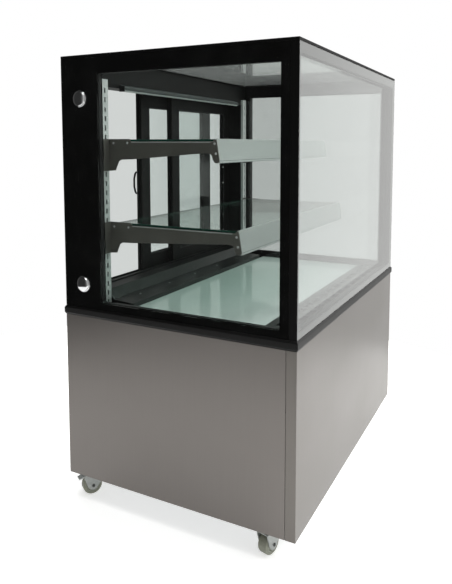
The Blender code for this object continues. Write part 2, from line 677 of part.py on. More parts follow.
def right_door():
    """Inner door, closed, with a flush pull let into its back face."""
    slide_x = DOOR_STOP - INNER_DOOR_WIDTH / 2
    carrier, frame, x, z = door("right_door", INNER_DOOR_Y, INNER_DOOR_WIDTH, slide_x, 1)
    x += 0.0015
    face, deep, half_w, half_h = DOOR_THICK / 2, 0.0100, 0.0105, 0.033
    bm = bmesh.new()
    low, high = (x - half_w, face - deep, z - half_h), (x + half_w, face + 0.01, z + half_h)
    add_block(bm, low, high)
    combine(frame, piece("pull_pocket", bm, None, carrier), "DIFFERENCE")
    wall, lip = 0.0012, 0.0025
    bm = bmesh.new()
    low = (x - half_w + GAP, face - deep + GAP, z - half_h + GAP)
    high = (x + half_w - GAP, face + 0.0008, z + half_h - GAP)
    add_block(bm, low, high)
    cup = piece("right_door_pull", bm, black_frame, carrier)
    bm = bmesh.new()
    low = (x - half_w - lip, face + GAP, z - half_h - lip)
    high = (x + half_w + lip, face + 0.0013, z + half_h + lip)
    add_block(bm, low, high)
    combine(cup, piece("pull_lip", bm, None, carrier))
    bm = bmesh.new()
    low = (x - half_w + GAP + wall, face - deep + GAP + wall, z - half_h + GAP + wall)
    high = (x + half_w - GAP - wall, face + 0.01, z + half_h - GAP - wall)
    add_block(bm, low, high)
    combine(cup, piece("pull_hollow", bm, None, carrier), "DIFFERENCE")


# Machinery


def comb(first, last, base, tip, fins):
    """Closed comb outline: a back at base with fins that reach to tip, spread from first to last."""
    back = 0.006 if tip > base else -0.006
    pitch = (last - first) / (2 * fins - 1)
    outline = [(first, base), (last, base)]
    for fin in range(fins):
        right = last - 2 * fin * pitch
        left = right - pitch
        outline += [(right, base + back)] if fin else []
        outline += [(right, tip), (left, tip)]
        outline += [(left, base + back)] if fin < fins - 1 else []
    return outline


def fan(name, parent, radius, hub_radius, hub_height, blades, turn):
    """Axial fan: flat blades, pitched and let into a solid hub."""
    half, chord, skin = hub_height / 2, radius * 0.28, 0.0012
    hub = [(0, -half), (hub_radius, -half), (hub_radius * 0.9, half), (0, half)]
    rotor = solid_turned(name, hub, fan_plastic, parent, steps=blades * 6)
    for blade in range(blades):
        bm = bmesh.new()
        add_block(bm, (hub_radius * 0.5, -chord, -skin), (radius * 0.96, chord, skin))
        around = Matrix.Rotation(math.tau * blade / blades, 4, "Z")
        bm.transform(around @ Matrix.Rotation(math.radians(32), 4, "X"))
        combine(rotor, piece("blade", bm, fan_plastic, parent))
    rotor.data.transform(turn)
    return rotor


def machinery():
    """Compressor, condenser with its fan, and the evaporator with its fan."""
    floor = 0.003 + GAP
    dome = [(0, 0.008), (0.066, 0.008), (0.074, 0.020), (0.078, 0.060), (0.078, 0.105)]
    dome += [(0.070, 0.135), (0.050, 0.155), (0.022, 0.163), (0, 0.164)]
    seat = Matrix.Translation((0.235, -0.05, floor))
    shell = solid_turned("compressor", dome, compressor_black, case, steps=24, smooth=50, turn=seat)
    bm = bmesh.new()
    add_block(bm, (0.135, -0.125, floor), (0.335, 0.025, floor + 0.010))
    combine(shell, piece("compressor_feet", bm, None, case))
    bm = bmesh.new()
    add_block(bm, (0.285, -0.085, floor + 0.050), (0.345, -0.015, floor + 0.110))
    combine(shell, piece("terminal_box", bm, None, case))

    back, front = 0.300, 0.240
    outline = comb(-0.270, 0.030, back, front, 16)
    prism("condenser_coil", outline, "z", floor, 0.270, fin_aluminium, case)

    centre = Vector((-0.120, 0.170, 0.140))
    lie = Matrix.Rotation(math.radians(-90), 4, "X")
    axle = empty("condenser_fan_axle", centre, case)
    fan("condenser_fan", axle, 0.098, 0.026, 0.028, 5, lie)
    can = [(0, -0.085), (0.036, -0.085), (0.036, -0.025), (0.010, -0.021), (0.010, -0.0155), (0, -0.0155)]
    motor = solid_turned(
        "condenser_fan_motor", can, compressor_black, case, steps=24, turn=Matrix.Translation(centre) @ lie
    )
    bm = bmesh.new()
    low = (centre.x - 0.020, centre.y - 0.058, floor)
    add_block(bm, low, (centre.x + 0.020, centre.y - 0.052, centre.z))
    combine(motor, piece("motor_post", bm, None, case))
    bm = bmesh.new()
    low = (centre.x - 0.030, centre.y - 0.080, floor)
    add_block(bm, low, (centre.x + 0.030, centre.y - 0.0525, floor + 0.003))
    combine(motor, piece("motor_foot", bm, None, case))

    coil_foot, coil_top, coil_end = 0.350 + GAP, 0.452, 0.250
    outline = comb(-coil_end, coil_end, coil_foot, coil_top, 20)
    coil = prism("evaporator_coil", outline, "y", -0.060, 0.060, fin_aluminium, case)
    point = Matrix.Rotation(math.radians(90), 4, "Y")
    hub = Vector((0.292, 0, 0.402))
    can = [(0, -0.046), (0.024, -0.046), (0.024, -0.018), (0.008, -0.016), (0.008, -0.0125), (0, -0.0125)]
    turn = Matrix.Translation(hub) @ point
    combine(coil, solid_turned("evaporator_motor", can, None, case, steps=20, turn=turn))
    axle = empty("evaporator_fan_axle", hub, case)
    fan("evaporator_fan", axle, 0.046, 0.015, 0.022, 4, point)


# Casters


def caster(name, x, y, heading, brake):
    """Swivel fork on a stem, its wheel and, on the rear ones, a brake pedal. heading is the direction
    the wheel trails in, in degrees from +X towards +Y."""
    swivel = empty(name + "_swivel", (x, y, 0), case, (0, 0, math.radians(heading)))
    inner, outer, crown, bridge = WHEEL_WIDTH / 2 + 0.0015, WHEEL_WIDTH / 2 + 0.0040, -0.0080, -0.0105
    outline = [(-0.023, crown), (-0.023, crown - 0.006), (-0.008, AXLE_Z + 0.014)]
    outline += [(TRAIL - 0.0165, AXLE_Z + 0.001)] + arc((TRAIL, AXLE_Z), 0.0125, 212, 328, 6)
    outline += [(TRAIL + 0.0165, AXLE_Z + 0.001), (TRAIL + 0.0200, AXLE_Z + 0.014)]
    outline += [(0.048, crown - 0.008), (0.048, crown)]
    fork = prism(name + "_fork", outline, "y", -outer, outer, fork_zinc, swivel)
    bm = bmesh.new()
    add_block(bm, (-0.05, -inner, -0.09), (0.08, inner, bridge))
    combine(fork, piece("wheel_room", bm, None, swivel), "DIFFERENCE")
    stem = [(0, crown - 0.0015), (0.0235, crown - 0.0015), (0.0235, -0.0015), (0.0220, -0.0004)]
    stem += [(0.0060, -0.0004), (0.0060, 0.0110), (0, 0.0110)]
    combine(fork, solid_turned("stem", stem, None, swivel, steps=20))
    lie = Matrix.Translation((TRAIL, 0, AXLE_Z)) @ Matrix.Rotation(math.radians(90), 4, "X")
    pin = [(0, -outer - 0.001), (0.0040, -outer - 0.001), (0.0040, outer + 0.001), (0, outer + 0.001)]
    combine(fork, solid_turned("axle", pin, None, swivel, steps=16, turn=lie))

    axle = empty(name + "_axle", (TRAIL, 0, AXLE_Z), swivel)
    half, tread = WHEEL_WIDTH / 2, WHEEL_RADIUS
    section = [(0.0043, -half + 0.001), (0.0090, -half + 0.001), (0.0110, -half + 0.004)]
    section += [(0.0170, -half + 0.004), (0.0195, -half), (tread - 0.002, -half), (tread, -half + 0.0035)]
    section += [(radius, -height) for radius, height in reversed(section)]
    turn = Matrix.Rotation(math.radians(90), 4, "X") @ Matrix.Rotation(math.radians(90), 4, "Z")
    turned(name + "_wheel", section, wheel_rubber, axle, steps=32, turn=turn)

    if brake:
        pivot = empty(name + "_pedal_pivot", (0.036, 0, -0.0142), swivel)
        outline = [(-0.003, -0.0020), (0.012, -0.0024), (0.021, -0.0050), (0.026, -0.0050)]
        outline += [(0.026, -0.0022), (0.022, -0.0018), (0.013, 0.0020), (-0.003, 0.0020)]
        prism(name + "_brake_pedal", outline, "y", -0.0105, 0.0105, pedal_zinc, pivot)


chassis_tray()
side_panel(-1)
side_panel(1)
front_panel()
rear_grille()
controls()
base_trim()
insulated_tub()
deck()
rear_frame()
glass_walls()
shelf_standard(-1, "left_shelf_standard")
shelf_standard(1, "right_shelf_standard")
for shelf_level in SHELVES:
    shelf(shelf_level)
lamp()
left_door()
right_door()
machinery()
caster("rear_left_caster", -CASTER_X, REAR_CASTER_Y, 147, True)
caster("rear_right_caster", CASTER_X, REAR_CASTER_Y, 152, True)
caster("front_left_caster", -CASTER_X, FRONT_CASTER_Y, 166, False)
caster("front_right_caster", CASTER_X, FRONT_CASTER_Y, 160, False)
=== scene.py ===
import json
from math import radians, tau

import bmesh
import bpy
from mathutils import Matrix, Vector


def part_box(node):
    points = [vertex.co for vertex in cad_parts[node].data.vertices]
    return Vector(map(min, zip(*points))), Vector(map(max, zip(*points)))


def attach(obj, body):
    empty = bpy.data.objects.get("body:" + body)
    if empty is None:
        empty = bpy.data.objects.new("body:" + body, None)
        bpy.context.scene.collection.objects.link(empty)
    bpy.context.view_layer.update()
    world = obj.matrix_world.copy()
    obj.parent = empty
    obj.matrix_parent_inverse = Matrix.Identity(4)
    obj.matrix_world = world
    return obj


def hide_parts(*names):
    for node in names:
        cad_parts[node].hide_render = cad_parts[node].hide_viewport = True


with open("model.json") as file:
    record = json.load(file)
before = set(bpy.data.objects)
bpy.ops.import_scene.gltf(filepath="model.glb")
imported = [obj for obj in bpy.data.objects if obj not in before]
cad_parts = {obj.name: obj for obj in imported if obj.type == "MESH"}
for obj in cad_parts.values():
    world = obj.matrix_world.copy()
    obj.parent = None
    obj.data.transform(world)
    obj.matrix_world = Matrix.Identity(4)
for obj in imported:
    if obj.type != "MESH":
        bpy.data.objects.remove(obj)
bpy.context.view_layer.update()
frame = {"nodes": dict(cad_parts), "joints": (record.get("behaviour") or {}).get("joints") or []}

nodes = frame["nodes"]
print("frame loaded:", len(nodes), "CAD nodes")


def linear(hexColour, alpha=1.0):  # sRGB hex to the linear values the shaders use
    channels = [int(hexColour[i:i + 2], 16) / 255 for i in (0, 2, 4)]
    return (*[c / 12.92 if c <= 0.04045 else ((c + 0.055) / 1.055) ** 2.4 for c in channels], alpha)


def addNode(tree, kind, settings=None, inputs=None):  # one shader node with its settings and links
    node = tree.nodes.new(kind)
    for key, value in (settings or {}).items():
        setattr(node, key, value)
    for key, value in (inputs or {}).items():
        if isinstance(value, bpy.types.NodeSocket):
            tree.links.new(value, node.inputs[key])
        else:
            node.inputs[key].default_value = value
    return node


def newMaterial(name):
    material = bpy.data.materials.new(name)
    material.use_nodes = True
    material.node_tree.nodes.clear()
    return material, material.node_tree


def patternNoise(tree, mm, detail=3.0, roughness=0.55):  # noise whose grains are mm = (x, y, z) long
    place = addNode(tree, "ShaderNodeTexCoord").outputs["Object"]
    scale = tuple(1000.0 / size for size in mm)
    place = addNode(tree, "ShaderNodeMapping", inputs={"Vector": place, "Scale": scale}).outputs["Vector"]
    return addNode(tree, "ShaderNodeTexNoise", inputs={
        "Vector": place, "Scale": 1.0, "Detail": detail, "Roughness": roughness}).outputs["Fac"]


def finish(name, look):  # a surface with a fine grain and a broad, faint mottle
    material, tree = newMaterial(name)
    grain = patternNoise(tree, look["grainMm"], look.get("grainDetail", 3.0))
    mottle = patternNoise(tree, look.get("mottleMm", (90, 90, 90)), 2.0)
    shade = addNode(tree, "ShaderNodeMath", {"operation": "MULTIPLY_ADD"},
                    {0: grain, 1: look.get("grainShare", 0.6)})
    rest = addNode(tree, "ShaderNodeMath", {"operation": "MULTIPLY"},
                   {0: mottle, 1: 1 - look.get("grainShare", 0.6)})
    tree.links.new(rest.outputs[0], shade.inputs[2])
    ramp = addNode(tree, "ShaderNodeValToRGB", inputs={"Fac": shade.outputs[0]})
    ramp.color_ramp.elements[0].position = 0.32
    ramp.color_ramp.elements[1].position = 0.68
    ramp.color_ramp.elements[0].color = linear(look["dark"])
    ramp.color_ramp.elements[1].color = linear(look["light"])
    low, high = look["roughness"]
    rough = addNode(tree, "ShaderNodeMapRange", inputs={
        "Value": shade.outputs[0], "From Min": 0.3, "From Max": 0.7, "To Min": low, "To Max": high})
    bump = addNode(tree, "ShaderNodeBump", inputs={
        "Height": grain, "Strength": look.get("bump", 0.15),
        "Distance": look.get("depthMm", 0.02) / 1000})
    shader = addNode(tree, "ShaderNodeBsdfPrincipled", inputs={
        "Base Color": ramp.outputs["Color"], "Roughness": rough.outputs["Result"],
        "Normal": bump.outputs["Normal"], "Metallic": look.get("metallic", 0.0),
        "Coat Weight": look.get("coat", 0.0), "Coat Roughness": look.get("coatRoughness", 0.1)})
    if "ior" in look:
        shader.inputs["IOR"].default_value = look["ior"]
    addNode(tree, "ShaderNodeOutputMaterial", inputs={"Surface": shader.outputs["BSDF"]})
    return material


def clearGlass(name, look):  # see-through sheet: a mirror share by angle over a faint tint
    material, tree = newMaterial(name)
    smear = patternNoise(tree, look.get("smearMm", (60, 60, 60)), 4.0)
    rough = addNode(tree, "ShaderNodeMapRange", inputs={
        "Value": smear, "From Min": 0.35, "From Max": 0.75, "To Min": 0.0,
        "To Max": look.get("smear", 0.03)})
    haze = addNode(tree, "ShaderNodeMapRange", inputs={
        "Value": smear, "From Min": 0.45, "From Max": 0.8, "To Min": 0.0,
        "To Max": look.get("haze", 0.02)})
    mirror = addNode(tree, "ShaderNodeBsdfGlossy", inputs={
        "Color": (1, 1, 1, 1), "Roughness": rough.outputs["Result"]})
    through = addNode(tree, "ShaderNodeBsdfTransparent", inputs={"Color": linear(look["tint"])})
    dust = addNode(tree, "ShaderNodeBsdfDiffuse", inputs={"Color": linear("D8DCDA")})
    body = addNode(tree, "ShaderNodeMixShader", inputs={
        0: haze.outputs["Result"], 1: through.outputs[0], 2: dust.outputs[0]})
    facing = addNode(tree, "ShaderNodeLayerWeight", inputs={"Blend": 0.5}).outputs["Facing"]
    steep = addNode(tree, "ShaderNodeMath", {"operation": "POWER"}, {0: facing, 1: 5.0})
    flat = ((look["ior"] - 1) / (look["ior"] + 1)) ** 2  # share mirrored head on
    share = addNode(tree, "ShaderNodeMath", {"operation": "MULTIPLY_ADD"}, {
        0: steep.outputs[0], 1: 1 - flat, 2: flat})
    mixed = addNode(tree, "ShaderNodeMixShader", inputs={
        0: share.outputs[0], 1: body.outputs[0], 2: mirror.outputs[0]})
    addNode(tree, "ShaderNodeOutputMaterial", inputs={"Surface": mixed.outputs[0]})
    return material


def addCube(bm, low, high):
    low, high = Vector(low), Vector(high)
    made = bmesh.ops.create_cube(bm, size=1)["verts"]
    bmesh.ops.scale(bm, vec=high - low, verts=made)
    bmesh.ops.translate(bm, vec=(low + high) / 2, verts=made)
    return made


def bevelSharp(bm, width, segments=2, angle=30):
    edges = [e for e in bm.edges if len(e.link_faces) == 2 and e.calc_face_angle(0) > radians(angle)]
    bmesh.ops.bevel(bm, geom=edges, offset=width, offset_type="OFFSET", affect="EDGES",
                    segments=segments, profile=0.5, material=-1, clamp_overlap=True)


def addTurned(bm, profile, place, steps=32):
    # spins a run of (radius, height) about Z, then puts it in place
    before = set(bm.verts)
    run = [bm.verts.new((radius, 0, height)) for radius, height in profile]
    edges = [bm.edges.new(pair) for pair in zip(run, run[1:])]
    if profile[0][0] > 0 and profile[-1][0] > 0:
        edges.append(bm.edges.new((run[-1], run[0])))
    bmesh.ops.spin(bm, geom=run + edges, axis=(0, 0, 1), cent=(0, 0, 0), angle=tau, steps=steps,
                   use_merge=True)
    made = [v for v in bm.verts if v not in before]
    bmesh.ops.remove_doubles(bm, verts=made, dist=1e-6)
    made = [v for v in bm.verts if v not in before]
    loose = [e for v in made for e in v.link_edges if not e.link_faces]
    bmesh.ops.delete(bm, geom=list(set(loose)), context="EDGES")
    made = [v for v in bm.verts if v not in before]
    bmesh.ops.transform(bm, matrix=place, verts=made)
    faces = list({f for v in made for f in v.link_faces})
    bmesh.ops.recalc_face_normals(bm, faces=faces)
    return faces


def makePiece(name, bm, materials, body, replaced=(), smooth=35):
    # a closed bmesh becomes a piece that rides a body and fills a slot
    bmesh.ops.remove_doubles(bm, verts=bm.verts[:], dist=1e-6)
    bmesh.ops.recalc_face_normals(bm, faces=bm.faces[:])
    if bm.calc_volume(signed=True) < 0:
        bmesh.ops.reverse_faces(bm, faces=bm.faces[:])
    mesh = bpy.data.meshes.new(name)
    bm.to_mesh(mesh)
    bm.free()
    for material in materials:
        mesh.materials.append(material)
    mesh.shade_smooth()
    mesh.set_sharp_from_angle(angle=radians(smooth))
    piece = bpy.data.objects.new(name, mesh)
    bpy.context.scene.collection.objects.link(piece)
    # keeps flat sheet flat beside its eased edges
    even = piece.modifiers.new("evenNormals", "WEIGHTED_NORMAL")
    even.keep_sharp = True
    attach(piece, body)
    if replaced:
        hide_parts(*replaced)
    return piece


def nodeMesh(node):  # a merged copy of a CAD node's mesh, with its flat faces whole
    bm = bmesh.new()
    bm.from_mesh(nodes[node].data)
    bmesh.ops.remove_doubles(bm, verts=bm.verts[:], dist=2e-6)
    bmesh.ops.dissolve_limit(bm, angle_limit=radians(0.5), verts=bm.verts[:], edges=bm.edges[:])
    return bm


def softened(node, name, material, body, width, segments=2):  # a CAD node with its edges eased
    bm = nodeMesh(node)
    bevelSharp(bm, width, segments)
    return makePiece(name, bm, [material], body, [node])


def dress(node, material):  # a CAD node that keeps its own mesh
    slots = nodes[node].data.materials
    slots.clear()
    slots.append(material)


def turnTo(direction):  # a matrix that points Z along direction
    return Vector(direction).to_track_quat("Z", "Y").to_matrix().to_4x4()


# 304 stainless steel sheet, belt-brushed upright: soft streaks that blur what it mirrors
sideStainless = finish("brushedStainlessSide", {
    "dark": "6C6865", "light": "726E6B", "grainMm": (2.2, 2.2, 260), "mottleMm": (300, 300, 200),
    "grainShare": 0.35, "roughness": (0.33, 0.41), "metallic": 1.0, "bump": 0.02, "depthMm": 0.01})
# the same sheet folded round the front, in a copy painted a little darker than the side's: painted shade
# for the light the front takes
frontStainlessShaded = finish("brushedStainlessFrontPaintedShade", {
    "dark": "676360", "light": "6E6B67", "grainMm": (2.2, 2.2, 260), "mottleMm": (300, 300, 200),
    "grainShare": 0.35, "roughness": (0.33, 0.41), "metallic": 1.0, "bump": 0.02, "depthMm": 0.01})
# hot-dip galvanised sheet: dull grey with broad crystal patches
galvanisedSheet = finish("galvanisedSheet", {
    "dark": "8C9091", "light": "A9ADAD", "grainMm": (9, 9, 9), "mottleMm": (45, 45, 45),
    "roughness": (0.42, 0.58), "metallic": 1.0, "bump": 0.05})
# black baked enamel on an extrusion: deep black, satin, with faint orange peel
blackEnamel = finish("blackEnamelledTrim", {
    "dark": "040404", "light": "070707", "grainMm": (2.5, 2.5, 2.5), "roughness": (0.42, 0.54),
    "bump": 0.05, "ior": 1.3})
# black anodised aluminium extrusion: satin, with fine draw lines along its length
blackAnodised = finish("blackAnodisedAluminium", {
    "dark": "080908", "light": "0E0F0E", "grainMm": (1.0, 1.0, 1.0), "mottleMm": (120, 120, 120),
    "roughness": (0.42, 0.54), "bump": 0.08, "ior": 1.3})
# black powder-coated steel: even, slightly pebbled
blackPowderCoat = finish("blackPowderCoatedSheet", {
    "dark": "161717", "light": "1F2120", "grainMm": (1.4, 1.4, 1.4), "mottleMm": (70, 70, 70),
    "roughness": (0.34, 0.46), "bump": 0.18, "depthMm": 0.04})
# ceramic frit baked on the back of float glass: flat black with the glass's own shine
ceramicFrit = finish("blackCeramicFrit", {
    "dark": "030303", "light": "050505", "grainMm": (5, 5, 5), "mottleMm": (200, 200, 200),
    "roughness": (0.03, 0.07), "bump": 0.0, "ior": 1.5})
# butyl and silicone sealant round the edge of a sealed unit: matt black
edgeSealant = finish("blackEdgeSealant", {
    "dark": "050505", "light": "090909", "grainMm": (3, 3, 3), "roughness": (0.55, 0.70), "bump": 0.1,
    "ior": 1.2})
# warm-edge spacer bar inside the sealed unit: black structural foam
spacerFoam = finish("blackFoamSpacer", {
    "dark": "0B0C0C", "light": "141515", "grainMm": (2, 2, 2), "roughness": (0.5, 0.65), "bump": 0.1})
# clear float glass: faint grey green, clean and flat
cabinetGlass = clearGlass("floatGlass", {"tint": "EAECEB", "ior": 1.5, "smear": 0.02, "haze": 0.006})
# door panes: two thinner sheets, clearer than the cabinet's
doorGlassSheet = clearGlass("doorFloatGlass", {
    "tint": "F4F7F6", "ior": 1.4, "smear": 0.02, "haze": 0.01})
# sealed front unit: its four surfaces mirror more than one sheet does
frontGlassSheet = clearGlass("frontFloatGlass", {
    "tint": "E0E3E2", "ior": 2.0, "smear": 0.02, "haze": 0.01})
# toughened shelf glass: a little greener, with wiped marks
shelfGlassSheet = clearGlass("toughenedShelfGlass", {
    "tint": "EAF2EF", "ior": 1.5, "smear": 0.03, "haze": 0.02})
# ground edge of green float glass: dark bottle green
glassEdge = finish("groundGlassEdge", {
    "dark": "12332A", "light": "235446", "grainMm": (2, 2, 2), "mottleMm": (40, 40, 40),
    "roughness": (0.12, 0.25), "bump": 0.05, "coat": 0.3})
# float glass painted white on its back: pale sea green, wet shine
backedDeckGlass = finish("whiteBackedDeckGlass", {
    "dark": "E4EFEC", "light": "EEF6F4", "grainMm": (60, 60, 60), "mottleMm": (220, 160, 200),
    "grainShare": 0.3, "roughness": (0.05, 0.10), "bump": 0.0, "ior": 1.5})
# bright chrome plate on a turned clamp
chromePlate = finish("polishedChromePlate", {
    "dark": "C4C5C6", "light": "D6D7D8", "grainMm": (4, 4, 4), "roughness": (0.05, 0.11),
    "metallic": 1.0, "bump": 0.02})
# satin zinc-coated steel channel: light grey with rolling marks along it
satinChannel = finish("satinSteelChannel", {
    "dark": "DADEDD", "light": "E8EBEA", "grainMm": (1, 1, 30), "roughness": (0.34, 0.46),
    "metallic": 0.35, "bump": 0.05})
# grey lacquer over a pressed steel arm: warm dark grey, satin
greyLacquer = finish("greyLacqueredSteel", {
    "dark": "63615C", "light": "706E69", "grainMm": (1.6, 1.6, 1.6), "mottleMm": (60, 60, 60),
    "roughness": (0.36, 0.46), "metallic": 0.15, "bump": 0.10})
# natural anodised aluminium fascia: pale silver with draw lines along X
silverAnodised = finish("silverAnodisedAluminium", {
    "dark": "C6CBC9", "light": "D2D7D5", "grainMm": (90, 1.2, 1.2), "mottleMm": (300, 60, 60),
    "roughness": (0.42, 0.52), "metallic": 0.35, "bump": 0.04})
# lamp extrusion: grey anodised, drawn along X
lampAluminium = finish("lampAluminiumProfile", {
    "dark": "3E4443", "light": "4A5150", "grainMm": (90, 1.2, 1.2), "roughness": (0.36, 0.46),
    "metallic": 0.3, "bump": 0.04})
# opal polycarbonate lamp cover: milky, softly glossy
opalCover = finish("opalPolycarbonate", {
    "dark": "D5DBD9", "light": "E2E7E5", "grainMm": (30, 6, 6), "roughness": (0.28, 0.38), "bump": 0.02})
# moulded ABS liner: dark grey, satin
greyLiner = finish("greyLinerPlastic", {
    "dark": "3A3D3D", "light": "464949", "grainMm": (3, 3, 3), "roughness": (0.35, 0.5), "bump": 0.06})
# black stove enamel on the pressed compressor shell
compressorEnamel = finish("compressorEnamel", {
    "dark": "0E0E10", "light": "18181A", "grainMm": (2.2, 2.2, 2.2), "roughness": (0.25, 0.35),
    "bump": 0.10, "coat": 0.2})
# bare aluminium fin stock: bright edges, dull between
finStock = finish("aluminiumFinStock", {
    "dark": "8B8E90", "light": "A8ABAD", "grainMm": (2, 2, 12), "roughness": (0.35, 0.5),
    "metallic": 1.0, "bump": 0.06})
# moulded black glass-filled nylon: fine even pebble
mouldedBlack = finish("mouldedBlackPlastic", {
    "dark": "131314", "light": "1D1D1F", "grainMm": (0.9, 0.9, 0.9), "roughness": (0.40, 0.52),
    "bump": 0.12})
# smoked acrylic over the display: nearly black, wet shine
smokedWindow = finish("smokedAcrylicWindow", {
    "dark": "0A0304", "light": "120506", "grainMm": (4, 4, 4), "roughness": (0.05, 0.10), "bump": 0.0})
# silicone keys: mid grey, matt
greyKeypad = finish("greySiliconeKey", {
    "dark": "6A6C6E", "light": "7A7C7E", "grainMm": (1, 1, 1), "roughness": (0.55, 0.7), "bump": 0.08})
# moulded rocker switches: deep-toned polycarbonate with a slight shine
redRocker = finish("redRockerPlastic", {
    "dark": "8C1512", "light": "A21B17", "grainMm": (2, 2, 2), "roughness": (0.22, 0.3), "bump": 0.03})
greenRocker = finish("greenRockerPlastic", {
    "dark": "15582E", "light": "1B6B39", "grainMm": (2, 2, 2), "roughness": (0.22, 0.3), "bump": 0.03})
# bright zinc plate on pressed steel: grey with a faint blue cast and wiped patches
zincPlate = finish("brightZincPlate", {
    "dark": "8C8F8D", "light": "A2A5A2", "grainMm": (1.5, 1.5, 1.5), "mottleMm": (14, 14, 14),
    "roughness": (0.30, 0.44), "metallic": 0.5, "bump": 0.08})
# clear zinc plate on the pressed brake pedals: pale, less rubbed than the forks
paleZinc = finish("paleZincPlate", {
    "dark": "B4B7B4", "light": "C8CBC8", "grainMm": (1.5, 1.5, 1.5), "mottleMm": (14, 14, 14),
    "roughness": (0.34, 0.46), "metallic": 0.3, "bump": 0.08})
# nickel plate on screw heads: bright, smooth; the same white also makes the painted highlight strips
# along the bracket arms
nickelPlateAndHighlight = finish("nickelPlatedSteelAndPaintedHighlight", {
    "dark": "E2E4E3", "light": "F0F2F1", "grainMm": (1, 1, 1), "roughness": (0.15, 0.25),
    "metallic": 0.4, "bump": 0.03})
# phosphated steel bolt: dark grey, dull
darkSteel = finish("phosphatedSteelBolt", {
    "dark": "3A3B3A", "light": "4A4B4A", "grainMm": (1.2, 1.2, 1.2), "roughness": (0.4, 0.55),
    "metallic": 0.8, "bump": 0.1})
# grey thermoplastic rubber tread, scuffed
greyTread = finish("greyThermoplasticRubber", {
    "dark": "6C6E60", "light": "86887A", "grainMm": (1.2, 1.2, 1.2), "mottleMm": (12, 12, 12),
    "roughness": (0.5, 0.68), "bump": 0.2, "depthMm": 0.05})
# moulded nylon wheel centre: pale grey green, waxy
nylonHub = finish("paleNylonHub", {
    "dark": "8F9284", "light": "A3A698", "grainMm": (2, 2, 2), "roughness": (0.38, 0.5), "bump": 0.05})
# extruded EPDM glazing bead: matt black with lines along it; the same black also makes the painted-shade
# strip along each shelf rail
blackRubberAndShadowLine = finish("blackGlazingRubberAndPaintedShade", {
    "dark": "0D0D0D", "light": "171717", "grainMm": (1.5, 1.5, 8), "roughness": (0.5, 0.65), "bump": 0.1})
print("materials made:", len(bpy.data.materials))


glassUnit = {
    "bevel": 0.0007,
    "fritDepth": 0.0007,  # how far the black border lies under each glass face
    "spacerWidth": 0.0012, "spacerThick": 0.011,
    "holeCorner": 0.0045,
    "borderInset": 0.0004, "spacerOverlap": 0.0002,
    "topInset": 0.001, "topBorder": (0.0004, 0.0010),  # heights of the top border over the plate's foot
}
endFrit = {"top": 0.0410, "bottom": 0.0185, "front": 0.0230, "rear": 0.1200}
frontFrit = {"top": 0.0250, "bottom": 0.0160, "left": 0.0090, "right": 0.0240}
topFrit = {"front": 0.030, "side": 0.040, "rear": 0.110}


def addSlabRing(bm, outerLow, outerHigh, holeLow, holeHigh, corner, low, high, place):
    # flat ring in XY with a rounded hole, from low to high in Z, then moved by place
    def addLoop(lowCorner, highCorner, radius):
        made = bmesh.ops.create_grid(bm, x_segments=1, y_segments=1, size=0.5)["verts"]
        size = Vector((*[b - a for a, b in zip(lowCorner, highCorner)], 1))
        middle = Vector((*[(a + b) / 2 for a, b in zip(lowCorner, highCorner)], low))
        bmesh.ops.scale(bm, vec=size, verts=made)
        bmesh.ops.translate(bm, vec=middle, verts=made)
        if radius:
            made = bmesh.ops.bevel(bm, geom=made, offset=radius, offset_type="OFFSET", affect="VERTICES",
                                   segments=5, profile=0.5, material=-1)["verts"]
        face = made[0].link_faces[0]
        edges = face.edges[:]
        bmesh.ops.delete(bm, geom=[face], context="FACES_ONLY")
        return edges

    before = set(bm.verts)
    edges = addLoop(outerLow, outerHigh, 0) + addLoop(holeLow, holeHigh, corner)
    filled = bmesh.ops.triangle_fill(bm, edges=edges, use_beauty=True)["geom"]
    faces = [g for g in filled if isinstance(g, bmesh.types.BMFace)]
    raised = bmesh.ops.extrude_face_region(bm, geom=faces, use_keep_orig=True)["geom"]
    bmesh.ops.translate(bm, vec=(0, 0, high - low),
                        verts=[g for g in raised if isinstance(g, bmesh.types.BMVert)])
    made = [v for v in bm.verts if v not in before]
    bmesh.ops.transform(bm, matrix=place, verts=made)
    return made


def paneOf(node, name, axis, material, edgeMaterial, body="case"):
    # a clear sheet: the two broad faces are glass, the narrow ones its edge
    low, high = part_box(node)
    bm = bmesh.new()
    addCube(bm, low, high)
    bevelSharp(bm, glassUnit["bevel"], 1)
    for face in bm.faces:
        face.material_index = 0 if abs(face.normal[axis]) > 0.99 else 1
    return makePiece(name, bm, [material, edgeMaterial], body, [node], smooth=20)


def borderOf(node, name, axis, frit, body="case"):
    # black border between the sheets, with the spacer bar that shows inside it
    low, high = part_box(node)
    across = 1 if axis == 0 else 0
    outerLow, outerHigh = (low[across], low[2]), (high[across], high[2])
    inset = glassUnit["borderInset"]
    outerLow, outerHigh = [c + inset for c in outerLow], [c - inset for c in outerHigh]
    holeLow = (low[across] + frit["lowSide"], low[2] + frit["bottom"])
    holeHigh = (high[across] - frit["highSide"], high[2] - frit["top"])
    # XY of the ring becomes (across, Z), and Z of the ring becomes the sheet's own normal
    columns = {0: ((0, 1, 0), (0, 0, 1), (1, 0, 0)), 1: ((1, 0, 0), (0, 0, 1), (0, 1, 0))}[axis]
    place = Matrix([[column[row] for column in columns] for row in range(3)]).to_4x4()
    depth = glassUnit["fritDepth"]
    bm = bmesh.new()
    addSlabRing(bm, outerLow, outerHigh, holeLow, holeHigh, glassUnit["holeCorner"],
                low[axis] + depth, high[axis] - depth, place)
    makePiece(name + "Border", bm, [ceramicFrit], body)
    width, half = glassUnit["spacerWidth"], glassUnit["spacerThick"] / 2
    middle = (low[axis] + high[axis]) / 2
    bm = bmesh.new()
    overlap = glassUnit["spacerOverlap"]
    grown = [c - overlap for c in holeLow], [c + overlap for c in holeHigh]
    shrunk = [c + width for c in holeLow], [c - width for c in holeHigh]
    addSlabRing(bm, *grown, *shrunk, glassUnit["holeCorner"] - width, middle - half, middle + half, place)
    makePiece(name + "Spacer", bm, [spacerFoam], body)


